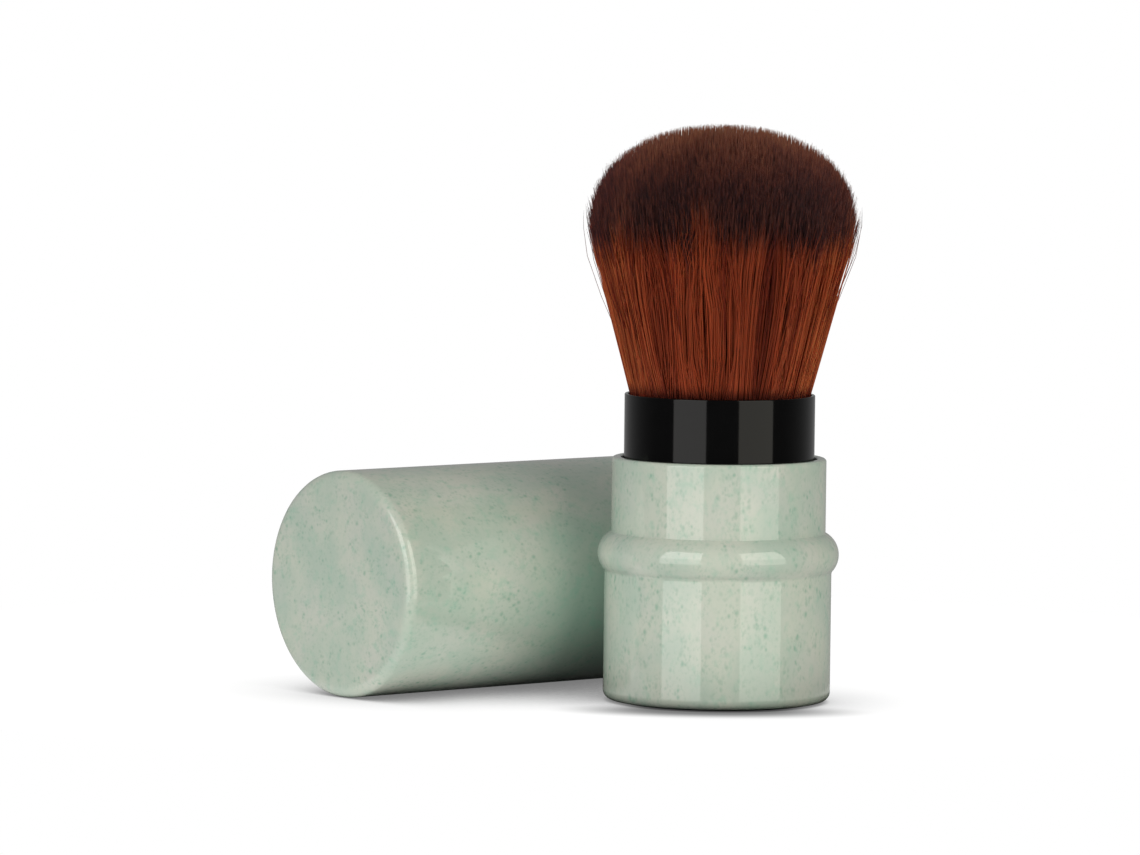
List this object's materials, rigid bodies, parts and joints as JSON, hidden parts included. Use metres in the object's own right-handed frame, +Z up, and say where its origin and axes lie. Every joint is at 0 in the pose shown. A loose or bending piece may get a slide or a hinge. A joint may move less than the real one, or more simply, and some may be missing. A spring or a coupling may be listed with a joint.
{
  "type": "retractable makeup brush",
  "caption": "Short retractable powder brush: flared domed tuft in a black tube, jade plastic sliding sleeve with a bead, and its round cap lying beside it.",
  "frame": {"origin": "on the brush's axis, at the middle of the flat underside of its base plug, on the floor", "axes": "+Z up along the brush's axis, the long way of the object as it stands; the cap lies on its side at +Y with its axis along X and its closed end towards -X"},
  "size_m": [0.0605, 0.0676, 0.0811],
  "materials": {
    "jade_plastic": "polished, clouded green-grey with fine dark specks",
    "black_gloss_plastic": "gloss",
    "brush_hair": "soft fibre, red-brown with a dark band near the tips",
    "drawn_aluminium": "satin",
    "amber_resin": "cured resin",
    "waxed_thread": "waxed",
    "white_moulding": "as moulded",
    "spring_steel": "bright",
    "black_bush_plastic": "satin",
    "silicone": "matte"
  },
  "bodies": {
    "root": {"base_plug": "black_gloss_plastic", "inner_tube": "black_gloss_plastic", "stop_ring": "spring_steel", "holder_post": "white_moulding", "ferrule_cup": "drawn_aluminium", "glue_plug": "amber_resin", "binding_thread": "waxed_thread", "tuft_core": "brush_hair", "tuft_outer": "brush_hair"},
    "sleeve": {"outer_sleeve": "jade_plastic", "neck_bush": "black_bush_plastic", "friction_ring": "silicone", "guide_bush": "black_bush_plastic"},
    "cap": {"cap_shell": "jade_plastic"}
  },
  "joints": [
    {"name": "sleeve_slide", "type": "slide", "parent": "root", "child": "sleeve", "axis": [0, 0, 1], "range_m": [0, 0.0195], "deforming": ["tuft_core", "tuft_outer"]},
    {"name": "cap_pull", "type": "slide", "parent": "root", "child": "cap", "axis": [-1, 0, 0], "range_m": [0, 0.06]}
  ]
}
